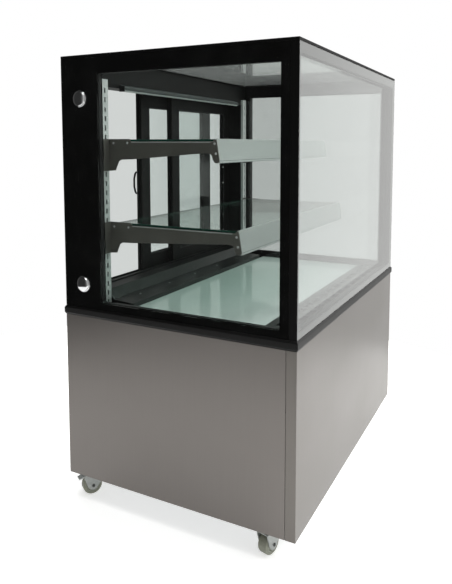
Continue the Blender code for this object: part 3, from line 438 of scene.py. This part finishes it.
for side in ("left", "right"):
    paneOf(side + "_end_glass", side + "EndGlass", 0, cabinetGlass, edgeSealant)
    borderOf(side + "_end_glass", side + "End", 0, {
        "lowSide": endFrit["front"], "highSide": endFrit["rear"],
        "top": endFrit["top"], "bottom": endFrit["bottom"]})
paneOf("front_glass", "frontGlass", 1, frontGlassSheet, edgeSealant)
borderOf("front_glass", "front", 1, {
    "lowSide": frontFrit["left"], "highSide": frontFrit["right"],
    "top": frontFrit["top"], "bottom": frontFrit["bottom"]})
paneOf("top_glass", "topGlass", 2, cabinetGlass, edgeSealant)
topLow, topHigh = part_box("top_glass")
ring = bmesh.new()
inset = glassUnit["topInset"]
addSlabRing(ring, (topLow.x + inset, topLow.y + inset), (topHigh.x - inset, topHigh.y - inset),
            (topLow.x + topFrit["side"], topLow.y + topFrit["front"]),
            (topHigh.x - topFrit["side"], topHigh.y - topFrit["rear"]),
            glassUnit["holeCorner"], *[topLow.z + rise for rise in glassUnit["topBorder"]], Matrix())
makePiece("topBorder", ring, [ceramicFrit], "case")
print("glass units made")

clamp = {  # turned clamp that holds each end glass to the rear posts
    "profile": [(0, 0.0085), (0.0030, 0.00843), (0.0060, 0.0082), (0.0090, 0.00783), (0.0120, 0.0073),
                (0.0150, 0.00663), (0.0172, 0.0060), (0.0188, 0.0049), (0.0194, 0.0038), (0.0195, 0.0030),
                (0.0206, 0.0027), (0.0213, 0.0020), (0.0213, 0.0004), (0, 0.0004)],
}
for side, sign in (("left", -1), ("right", 1)):
    for level in ("upper", "lower"):
        node = f"{side}_{level}_glass_clamp"
        low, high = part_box(node)
        centre = (low + high) / 2
        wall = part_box(side + "_end_glass")[0 if sign < 0 else 1].x
        place = Matrix.Translation((wall, centre.y, centre.z)) @ turnTo((sign, 0, 0))
        bm = bmesh.new()
        addTurned(bm, clamp["profile"], place, 48)
        makePiece(node.replace("_", ""), bm, [chromePlate], "case", [node], smooth=25)
print("clamps made")


base = {"sideEdge": 0.0005, "frontEdge": 0.0006, "trimEdge": 0.0008}  # how far the sheet edges are eased
for node, name in (("left_side_panel", "leftSidePanel"), ("right_side_panel", "rightSidePanel")):
    softened(node, name, sideStainless, "case", base["sideEdge"])
# the front panel wears the stainless copy with painted shade
softened("front_panel", "frontPanel", frontStainlessShaded, "case", base["frontEdge"])
softened("base_trim", "baseTrim", blackEnamel, "case", base["trimEdge"])
dress("rear_grille", galvanisedSheet)
dress("chassis_tray", galvanisedSheet)
print("base made")


deck = {"glassEdge": 0.0006, "ductEdge": 0.0005, "frameEdge": 0.0006}
softened("deck_glass", "deckGlass", backedDeckGlass, "case", deck["glassEdge"])
dress("front_air_grille", blackPowderCoat)
dress("insulated_tub", greyLiner)
softened("rear_duct_cover", "rearDuctCover", blackPowderCoat, "case", deck["ductEdge"])
for node, name in (("door_sill", "doorSill"), ("door_header", "doorHeader"),
                   ("left_post", "leftPost"), ("right_post", "rightPost")):
    softened(node, name, blackAnodised, "case", deck["frameEdge"])
print("deck and rear frame made")


screw = {"radius": 0.0032, "rise": 0.0013, "recess": 0.0006}


def addScrew(bm, point, direction, size=1.0):  # pan head with a small round recess
    r, h, d = screw["radius"] * size, screw["rise"] * size, screw["recess"] * size
    profile = [(0, h - d), (r * 0.32, h - d), (r * 0.40, h), (r * 0.75, h * 0.88), (r, h * 0.25),
               (r, -0.0003), (0, -0.0003)]
    addTurned(bm, profile, Matrix.Translation(point) @ turnTo(direction), 16)


baseHalfDepth = 0.3375
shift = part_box("front_panel")[0].y + baseHalfDepth  # from the base's own middle to the frame's
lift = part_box("chassis_tray")[0].z


def inFrame(x, y, z):
    return Vector((x, y + shift, z + lift))


ductScrews = {"count": 5, "pitch": 0.148, "offset": -0.013, "y": 0.1995, "height": 0.4882,
              "facing": (0, -0.06, 1), "size": 0.9}
bm = bmesh.new()
for n in range(ductScrews["count"]):
    x = (n - (ductScrews["count"] - 1) / 2) * ductScrews["pitch"] + ductScrews["offset"]
    spot = inFrame(x, ductScrews["y"], ductScrews["height"])
    addScrew(bm, spot, ductScrews["facing"], ductScrews["size"])
makePiece("ductScrews", bm, [nickelPlateAndHighlight], "case")

standardScrews = {"x": 0.411, "y": 0.2297, "heights": (1.0092, 0.4985), "size": 0.85}
bm = bmesh.new()
for side in (-1, 1):
    for height in standardScrews["heights"]:
        spot = inFrame(side * standardScrews["x"], standardScrews["y"], height)
        addScrew(bm, spot, (0, -1, 0), standardScrews["size"])
makePiece("standardScrews", bm, [nickelPlateAndHighlight], "case")

armFace = 0.400  # x of the outer face of a bracket's arm
bracketScrews = {  # (y, z) of each
    "upper": [(0.2131, 0.9150), (0.1678, 0.9158), (-0.0959, 0.9142), (-0.0994, 0.8895)],
    "lower": [(0.2149, 0.6914), (0.1678, 0.6917), (-0.1561, 0.6885), (-0.1597, 0.6645)],
}
for level, spots in bracketScrews.items():
    bm = bmesh.new()
    for side in (-1, 1):
        for y, z in spots:
            addScrew(bm, inFrame(side * armFace, y, z), (side, 0, 0))
    makePiece(level + "BracketScrews", bm, [nickelPlateAndHighlight], "case")

grilleScrews = {"columns": (-0.42, -0.14, 0.14, 0.42), "fromFoot": 0.016, "fromTop": 0.012,
                "sideX": (-0.425, 0.425), "sideHeights": (0.16, 0.30), "size": 1.2}
bm = bmesh.new()
grilleLow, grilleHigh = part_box("rear_grille")
rows = (grilleLow.z + grilleScrews["fromFoot"], grilleHigh.z - grilleScrews["fromTop"])
spots = [(x, z) for x in grilleScrews["columns"] for z in rows]
spots += [(x, z + lift) for z in grilleScrews["sideHeights"] for x in grilleScrews["sideX"]]
for x, z in spots:
    addScrew(bm, (x, grilleHigh.y, z), (0, 1, 0), grilleScrews["size"])
makePiece("grilleScrews", bm, [nickelPlateAndHighlight], "case")
print("screws made")


shelf = {"railEdge": 0.0004, "bracketEdge": 0.0004}  # how far the edges are eased
for side in ("left", "right"):
    dress(side + "_shelf_standard", satinChannel)
for level in ("upper", "lower"):
    paneOf(level + "_shelf_glass", level + "ShelfGlass", 2, shelfGlassSheet, glassEdge)
    softened(level + "_shelf_rail", level + "ShelfRail", silverAnodised, "case",
             shelf["railEdge"])
    for side in ("left", "right"):
        softened(f"{level}_{side}_bracket", f"{level}{side.title()}Bracket", greyLacquer, "case",
                 shelf["bracketEdge"])

def addAlongX(bm, outline, start, end):  # pushes a (y, z) outline along X
    face = bm.faces.new([bm.verts.new((start, y, z)) for y, z in outline])
    made = bmesh.ops.extrude_face_region(bm, geom=[face], use_keep_orig=True)["geom"]
    bmesh.ops.translate(bm, vec=(end - start, 0, 0),
                        verts=[g for g in made if isinstance(g, bmesh.types.BMVert)])


railFoot = {  # rolled lip along the foot of each shelf rail, with a thin black strip above it as painted shade for the shadow line in the groove
    # joint is the height of that black painted-shade strip
    "rise": 0.0017, "height": 0.0062, "joint": 0.0009, "lean": 0.0086 / 0.0588,
    "proud": 0.0007, "shadowLineProud": 0.0001, "bite": 0.0006, "bevel": 0.0002, "endGap": 0.0002,
}
armHighlightStrip = {  # bright nickel strip along the upper outer corner of each bracket arm: a painted highlight where that edge catches the light
    "drop": 0.0094, "width": 0.0022, "across": (0.3997, 0.4004), "front": 0.0252, "rear": 0.155,
    "bevel": 0.0002,
}
for level in ("upper", "lower"):
    low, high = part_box(level + "_shelf_rail")
    # the second strip is painted shade: a black sheet where the groove above the lip is in shadow
    for name, material, start, end, proud in (
            ("Lip", silverAnodised, railFoot["rise"], railFoot["height"], railFoot["proud"]),
            ("ShadowLine", blackRubberAndShadowLine, railFoot["height"], railFoot["height"] + railFoot["joint"],
             railFoot["shadowLineProud"])):
        section = []
        inner = railFoot["bite"]
        for up, back in ((start, -proud), (end, -proud), (end, inner), (start, inner)):
            section.append((low.y + (up - railFoot["rise"]) * railFoot["lean"] + back, low.z + up))
        bm = bmesh.new()
        addAlongX(bm, section, low.x + railFoot["endGap"], high.x - railFoot["endGap"])
        bevelSharp(bm, railFoot["bevel"], 1)
        makePiece(f"{level}ShelfRail{name}", bm, [material], "case", smooth=20)
    edge = high.z - armHighlightStrip["drop"]
    # each strip is a painted highlight laid on the arm's top corner
    for side, sign in (("left", -1), ("right", 1)):
        reach = sorted(sign * x for x in armHighlightStrip["across"])
        bm = bmesh.new()
        addCube(bm, (reach[0], low.y + armHighlightStrip["front"], edge),
                (reach[1], inFrame(0, armHighlightStrip["rear"], 0).y, edge + armHighlightStrip["width"]))
        bevelSharp(bm, armHighlightStrip["bevel"], 1)
        makePiece(f"{level}{side.title()}BracketHighlightStrip", bm, [nickelPlateAndHighlight], "case")
print("shelves made")


lamp = {"housingEdge": 0.0005, "coverEdge": 0.0003,
        # end caps: how thick, and (y, z) of two corners from the housing's near foot
        "capThick": 0.003, "capLow": (-0.0004, -0.0045), "capHigh": (0.0175, 0.0110), "capEdge": 0.0008}
softened("lamp_housing", "lampHousing", lampAluminium, "case", lamp["housingEdge"])
softened("lamp_cover", "lampCover", opalCover, "case", lamp["coverEdge"])
housingLow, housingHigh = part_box("lamp_housing")
bm = bmesh.new()
for sign, edge in ((-1, housingLow.x), (1, housingHigh.x)):
    cap = sorted((edge, edge + sign * lamp["capThick"]))
    corners = [(x, housingLow.y + y, housingLow.z + z)
               for x, (y, z) in zip(cap, (lamp["capLow"], lamp["capHigh"]))]
    addCube(bm, *corners)
bevelSharp(bm, lamp["capEdge"])
makePiece("lampEndCaps", bm, [mouldedBlack], "case")
print("lamp made")


door = {"frameEdge": 0.0006, "handleEdge": 0.0008, "pullEdge": 0.0003,
        "screwHeights": (0.7651, 0.8245), "screwInset": 0.052, "screwSize": 0.9}
doorSeal = {"width": 0.003, "rise": 0.0008, "overFrame": 0.002, "gap": 0.0001, "bite": 0.0087,
            "corner": 0.001}
for side in ("left", "right"):
    body = side + "_door"
    softened(side + "_door_frame", side + "DoorFrame", blackAnodised, body,
             door["frameEdge"])
    paneOf(side + "_door_glass", side + "DoorGlass", 1, doorGlassSheet, edgeSealant, body)
    low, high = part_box(side + "_door_glass")
    bite, width, gap = doorSeal["bite"], doorSeal["width"], doorSeal["gap"]
    rise = doorSeal["rise"] + doorSeal["overFrame"]
    bm = bmesh.new()
    place = Matrix(((1, 0, 0), (0, 0, 1), (0, 1, 0))).to_4x4()
    for start, end in ((low.y - rise, low.y - gap), (high.y + gap, high.y + rise)):
        addSlabRing(bm, (low.x + bite, low.z + bite), (high.x - bite, high.z - bite),
                    (low.x + bite + width, low.z + bite + width),
                    (high.x - bite - width, high.z - bite - width), doorSeal["corner"], start, end,
                    place)
    makePiece(side + "DoorGlazingBead", bm, [blackRubberAndShadowLine], body)
softened("left_door_handle", "leftDoorHandle", blackAnodised, "left_door",
         door["handleEdge"])
softened("right_door_pull", "rightDoorPull", blackAnodised, "right_door",
         door["pullEdge"])
frameLow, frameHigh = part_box("right_door_frame")
bm = bmesh.new()
for z in door["screwHeights"]:
    spot = (frameHigh.x - door["screwInset"], frameLow.y, z + lift)
    addScrew(bm, spot, (0, -1, 0), door["screwSize"])
makePiece("rightDoorScrews", bm, [nickelPlateAndHighlight], "right_door")
print("doors made")


for node, material in {
    "cord_gland": mouldedBlack, "compressor": compressorEnamel, "condenser_fan_motor": compressorEnamel,
    "condenser_coil": finStock, "evaporator_coil": finStock, "condenser_fan": mouldedBlack,
    "evaporator_fan": mouldedBlack,
}.items():
    dress(node, material)
controlFace = {"caseEdge": 0.0008, "windowEdge": 0.0003, "rockerEdge": 0.0006, "sunk": 0.0004,
               "window": (0.08, 0.60), "windowHeight": (0.24, 0.76), "rise": 0.0006,
               "keys": (0.72, 0.88), "keyHeights": (0.32, 0.68), "keyRadius": 0.0030}
softened("controller", "controller", mouldedBlack, "case", controlFace["caseEdge"])
low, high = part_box("controller")
span = high - low
bm = bmesh.new()
addCube(bm, (high.x - span.x * controlFace["window"][1], high.y - controlFace["sunk"],
             low.z + span.z * controlFace["windowHeight"][0]),
        (high.x - span.x * controlFace["window"][0], high.y + controlFace["rise"],
         low.z + span.z * controlFace["windowHeight"][1]))
bevelSharp(bm, controlFace["windowEdge"], 1)
makePiece("controllerWindow", bm, [smokedWindow], "case")
bm = bmesh.new()
for across in controlFace["keys"]:
    for up in controlFace["keyHeights"]:
        r, rise = controlFace["keyRadius"], controlFace["rise"]
        cap = [(0, rise * 1.6), (r * 0.7, rise * 1.5), (r, rise * 0.8), (r, -0.0003), (0, -0.0003)]
        spot = Vector((high.x - span.x * across, high.y, low.z + span.z * up))
        addTurned(bm, cap, Matrix.Translation(spot) @ turnTo((0, 1, 0)), 20)
makePiece("controllerKeys", bm, [greyKeypad], "case")
for word, colour, material in (("power", "red", redRocker), ("light", "green", greenRocker)):
    softened(word + "_switch", word + "Switch", material, word + "_rocker",
             controlFace["rockerEdge"])
print("controls made")


caster = {
    "radius": 0.0265, "half": 0.0130, "tyreInner": 0.0188, "forkEdge": 0.0006, "pedalEdge": 0.0005,
    # tread corner: (in from the radius, in from the side)
    "shoulder": [(0.0030, 0), (0.0012, 0.0010), (0, 0.0040)],
    # wheel centre: (radius, how far its face lies in from the side)
    "hub": [(0.0046, 0.0004), (0.0090, 0.0004), (0.0100, 0.0012), (0.0110, 0.0042), (0.0160, 0.0042),
            (0.0170, 0.0012), (0.0187, 0.0008)],
    "boltRadius": 0.0042, "boltRise": 0.0022, "boltFoot": 0.0050,
}
for corner in ("rear_left", "rear_right", "front_left", "front_right"):
    name = corner.replace("_", "")
    swivel, roller = corner + "_caster_swivel", corner + "_caster_roller"
    softened(corner + "_caster_fork", name + "Fork", zincPlate, swivel,
             caster["forkEdge"])
    joint = next(j for j in frame["joints"] if j["name"] == corner + "_wheel_spin")
    place = Matrix.Translation(joint["pos_m"]) @ turnTo(joint["axis"])
    r, half, inner = caster["radius"], caster["half"], caster["tyreInner"]
    shoulder = [(r - down, half - back) for down, back in caster["shoulder"]]
    tyre = [(inner, -half)] + [(radius, -height) for radius, height in shoulder]
    tyre += shoulder[::-1] + [(inner, half)]
    bm = bmesh.new()
    addTurned(bm, tyre, place, 48)
    makePiece(name + "Tyre", bm, [greyTread], roller, [corner + "_caster_wheel"])
    face = [(radius, half - sink) for radius, sink in caster["hub"]]
    hub = [(radius, -height) for radius, height in face] + face[::-1]
    bm = bmesh.new()
    addTurned(bm, hub, place, 32)
    makePiece(name + "Hub", bm, [nylonHub], roller)
    bm = bmesh.new()
    bolt, rise = caster["boltRadius"], caster["boltRise"]
    for sign in (-1, 1):
        head = [(0, rise), (bolt * 0.75, rise), (bolt, rise * 0.6), (bolt, 0.0001), (0, 0.0001)]
        out = Vector(joint["axis"]) * sign
        foot = Vector(joint["pos_m"]) + out * (half + caster["boltFoot"])
        addTurned(bm, head, Matrix.Translation(foot) @ turnTo(out), 6)
    makePiece(name + "AxleBolt", bm, [darkSteel], swivel, smooth=20)
    if corner.startswith("rear"):
        softened(corner + "_caster_brake_pedal", name + "BrakePedal", paleZinc,
                 corner + "_caster_brake", caster["pedalEdge"])
print("casters made")


studio = {
    "floorRadius": 1.60, "floorCentre": (-0.30, 0.20, 0.0),
    "floorDark": "EDEDEC", "floorLight": "F3F3F2", "floorGlow": 0.55,
    # brightness of the walls round the room: (degrees from +X towards +Y, linear value)
    "walls": [(-180, 0.45), (-150, 0.60), (-110, 0.70), (-60, 0.85), (-32, 1.20), (-21, 1.36),
              (-12, 1.15), (8, 1.20), (40, 0.55), (75, 0.20), (118, 0.04), (157, 0.04), (170, 0.22),
              (180, 0.45)],
    "key": {"place": (2.2, -3.2, 2.6), "aim": (0, 0, 0.6), "power": 90.0, "size": (2.0, 2.0)},
    "overhead": {"place": (0.2, -0.2, 3.2), "aim": (0, 0, 0.4), "power": 120.0, "size": (2.6, 2.6)},
}
floorMaterial, tree = newMaterial("paleStudioFloor")
speck = patternNoise(tree, (400, 400, 400), 2.0)
ramp = addNode(tree, "ShaderNodeValToRGB", inputs={"Fac": speck})
ramp.color_ramp.elements[0].color = linear(studio["floorDark"])
ramp.color_ramp.elements[1].color = linear(studio["floorLight"])
shader = addNode(tree, "ShaderNodeBsdfPrincipled", inputs={
    "Base Color": ramp.outputs[0], "Roughness": 0.8, "Emission Color": (1, 1, 1, 1),
    "Emission Strength": studio["floorGlow"]})
addNode(tree, "ShaderNodeOutputMaterial", inputs={"Surface": shader.outputs[0]})
bm = bmesh.new()
disc = bmesh.ops.create_circle(bm, cap_ends=True, segments=96, radius=studio["floorRadius"])["verts"]
bmesh.ops.translate(bm, vec=studio["floorCentre"], verts=disc)
mesh = bpy.data.meshes.new("floor")
bm.to_mesh(mesh)
bm.free()
mesh.materials.append(floorMaterial)
floor = bpy.data.objects.new("floor", mesh)
bpy.context.scene.collection.objects.link(floor)

world = bpy.data.worlds.new("paleStudio")
bpy.context.scene.world = world
world.use_nodes = True
tree = world.node_tree
tree.nodes.clear()
direction = addNode(tree, "ShaderNodeTexCoord").outputs["Generated"]
parts = addNode(tree, "ShaderNodeSeparateXYZ", inputs={"Vector": direction})
bearing = addNode(tree, "ShaderNodeMath", {"operation": "ARCTAN2"}, {
    0: parts.outputs["Y"], 1: parts.outputs["X"]})
turned = addNode(tree, "ShaderNodeMath", {"operation": "MULTIPLY_ADD"}, {
    0: bearing.outputs[0], 1: 1 / tau, 2: 0.5})
glow = addNode(tree, "ShaderNodeValToRGB", inputs={"Fac": turned.outputs[0]})
ramp = glow.color_ramp
while len(ramp.elements) < len(studio["walls"]):
    ramp.elements.new(0.5)
for element, (degrees, value) in zip(ramp.elements, studio["walls"]):
    element.position = degrees / 360 + 0.5
    element.color = (value, value, value * 0.985, 1)
studioGlow = addNode(tree, "ShaderNodeBackground", inputs={
    "Color": glow.outputs["Color"], "Strength": 1.0})
plainWhite = addNode(tree, "ShaderNodeBackground", inputs={
    "Color": (1, 1, 1, 1), "Strength": 1.0})
seen = addNode(tree, "ShaderNodeLightPath").outputs["Is Camera Ray"]
mixed = addNode(tree, "ShaderNodeMixShader", inputs={
    0: seen, 1: studioGlow.outputs[0], 2: plainWhite.outputs[0]})
addNode(tree, "ShaderNodeOutputWorld", inputs={"Surface": mixed.outputs[0]})


def addLight(name, look):
    softbox = bpy.data.lights.new(name, "AREA")
    softbox.shape = "RECTANGLE"
    softbox.size, softbox.size_y = look["size"]
    softbox.energy = look["power"]
    light = bpy.data.objects.new(name, softbox)
    light.location = look["place"]
    aim = Vector(look["aim"]) - Vector(look["place"])
    light.rotation_euler = aim.to_track_quat("-Z", "Y").to_euler()
    light.visible_camera = False
    bpy.context.scene.collection.objects.link(light)


addLight("keySoftbox", studio["key"])
addLight("topSoftbox", studio["overhead"])

viewpoint = {
    "place": (-1.6509, -0.8051, 0.9117), "lens": 36.30, "shift": (-0.0352, -0.1666),
    "right": (0.445434, -0.895313, 0.001747), "down": (-0.075001, -0.039258, -0.996410),
    "forward": (0.892168, 0.443704, -0.084636),
}
cameraData = bpy.data.cameras.new("camera")
cameraData.sensor_width = 36.0
cameraData.lens = viewpoint["lens"]
cameraData.shift_x, cameraData.shift_y = viewpoint["shift"]
camera = bpy.data.objects.new("camera", cameraData)
up = -Vector(viewpoint["down"])
back = -Vector(viewpoint["forward"])
axes = Matrix((viewpoint["right"], up, back)).transposed().to_4x4()
camera.matrix_world = Matrix.Translation(inFrame(*viewpoint["place"])) @ axes
bpy.context.scene.collection.objects.link(camera)
bpy.context.scene.camera = camera
bpy.context.scene.view_settings.view_transform = "Standard"
print("studio made")
